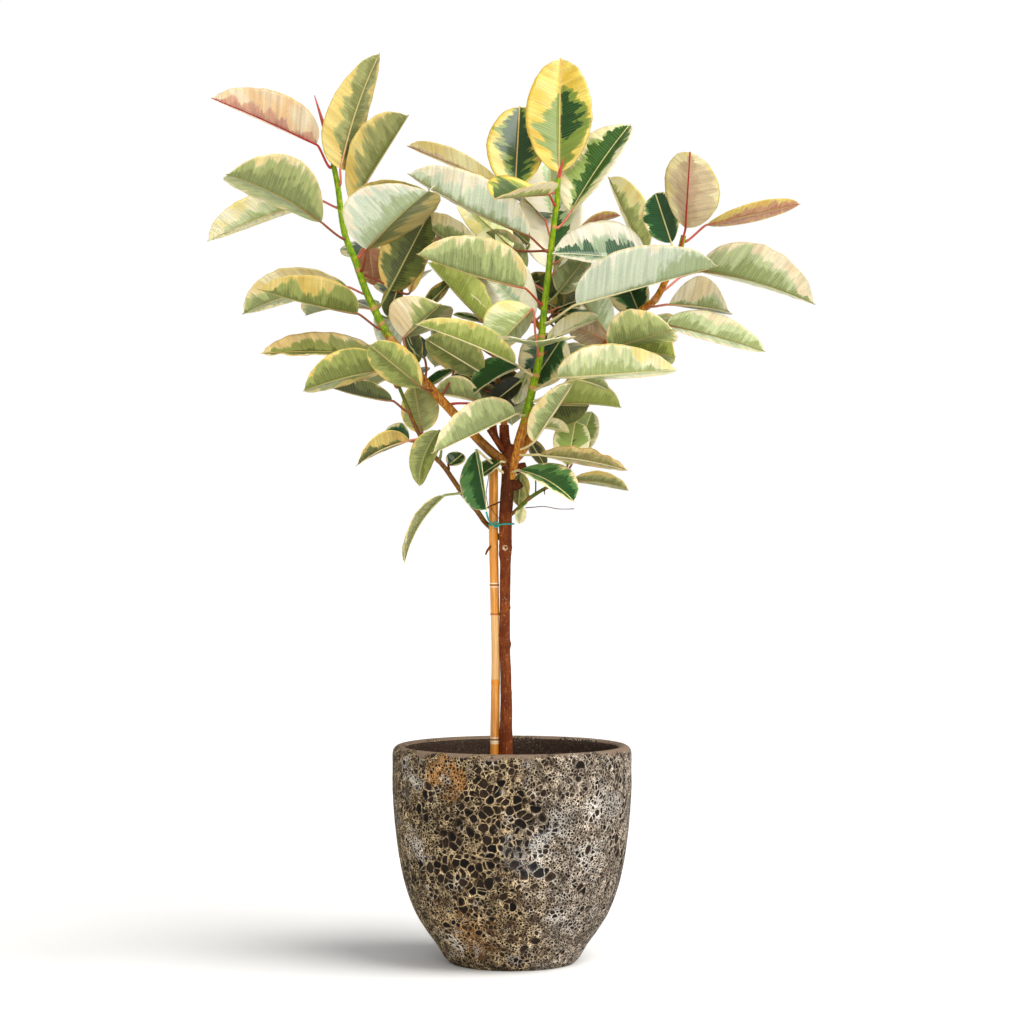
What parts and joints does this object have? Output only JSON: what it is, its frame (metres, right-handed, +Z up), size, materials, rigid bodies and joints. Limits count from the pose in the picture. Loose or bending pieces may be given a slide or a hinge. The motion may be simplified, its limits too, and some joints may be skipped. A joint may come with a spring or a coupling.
{
  "type": "potted plant",
  "caption": "Variegated rubber plant with a forked woody stem, broad cream and green leaves and a support cane, in a round crater-glazed ceramic pot.",
  "frame": {"origin": "centre of the pot's flat foot, on the floor", "axes": "+Z up along the pot's axis; the plant's front is -Y and its right, seen from the front, is +X"},
  "size_m": [0.9473, 0.4703, 1.413],
  "materials": {
    "crater_glaze": "matte",
    "potting_soil": "matte",
    "bark": "matte",
    "green_stem": "satin",
    "bamboo": "satin",
    "plastic_tie": "satin",
    "bud_sheath": "satin",
    "leaf_cream": "satin",
    "leaf_pale": "satin",
    "leaf_green": "satin",
    "leaf_grey": "satin",
    "leaf_lime": "satin",
    "leaf_dark": "satin",
    "leaf_young": "satin",
    "leaf_dry": "satin"
  },
  "bodies": {
    "root": {"pot": "crater_glaze", "soil": "potting_soil", "trunk": "bark", "bamboo_cane": "bamboo", "tie": "plastic_tie", "leader": "green_stem", "left_branch": "bark", "right_branch": "bark", "inner_shoot": "bark", "left_twig": "bark", "right_twig": "bark", "left_bud": "bud_sheath", "top_bud": "bud_sheath", "leaf_01": "leaf_young", "leaf_02": "leaf_cream", "leaf_04": "leaf_green", "leaf_05": "leaf_cream", "leaf_07": "leaf_pale", "leaf_12": "leaf_green", "leaf_14": "leaf_young", "leaf_15": "leaf_pale", "leaf_17": "leaf_cream", "leaf_18": "leaf_cream", "leaf_19": "leaf_dark", "leaf_21": "leaf_young", "leaf_23": "leaf_pale", "leaf_24": "leaf_cream", "leaf_25": "leaf_pale", "leaf_27": "leaf_green", "leaf_28": "leaf_young", "leaf_29": "leaf_young", "leaf_30": "leaf_dark", "leaf_31": "leaf_cream", "leaf_33": "leaf_young", "leaf_34": "leaf_green", "leaf_35": "leaf_cream", "leaf_38": "leaf_cream", "leaf_40": "leaf_dark", "leaf_44": "leaf_cream", "leaf_46": "leaf_dry", "leaf_47": "leaf_dark", "leaf_51": "leaf_dark", "leaf_54": "leaf_grey", "leaf_56": "leaf_cream", "leaf_57": "leaf_green", "leaf_58": "leaf_dark", "leaf_59": "leaf_pale", "leaf_60": "leaf_cream", "leaf_64": "leaf_cream", "leaf_66": "leaf_lime", "leaf_68": "leaf_green", "leaf_69": "leaf_green", "leaf_71": "leaf_pale", "leaf_74": "leaf_grey", "leaf_78": "leaf_pale", "leaf_82": "leaf_green", "leaf_83": "leaf_cream", "leaf_85": "leaf_dark", "leaf_91": "leaf_green", "leaf_92": "leaf_green"}
  },
  "joints": []
}
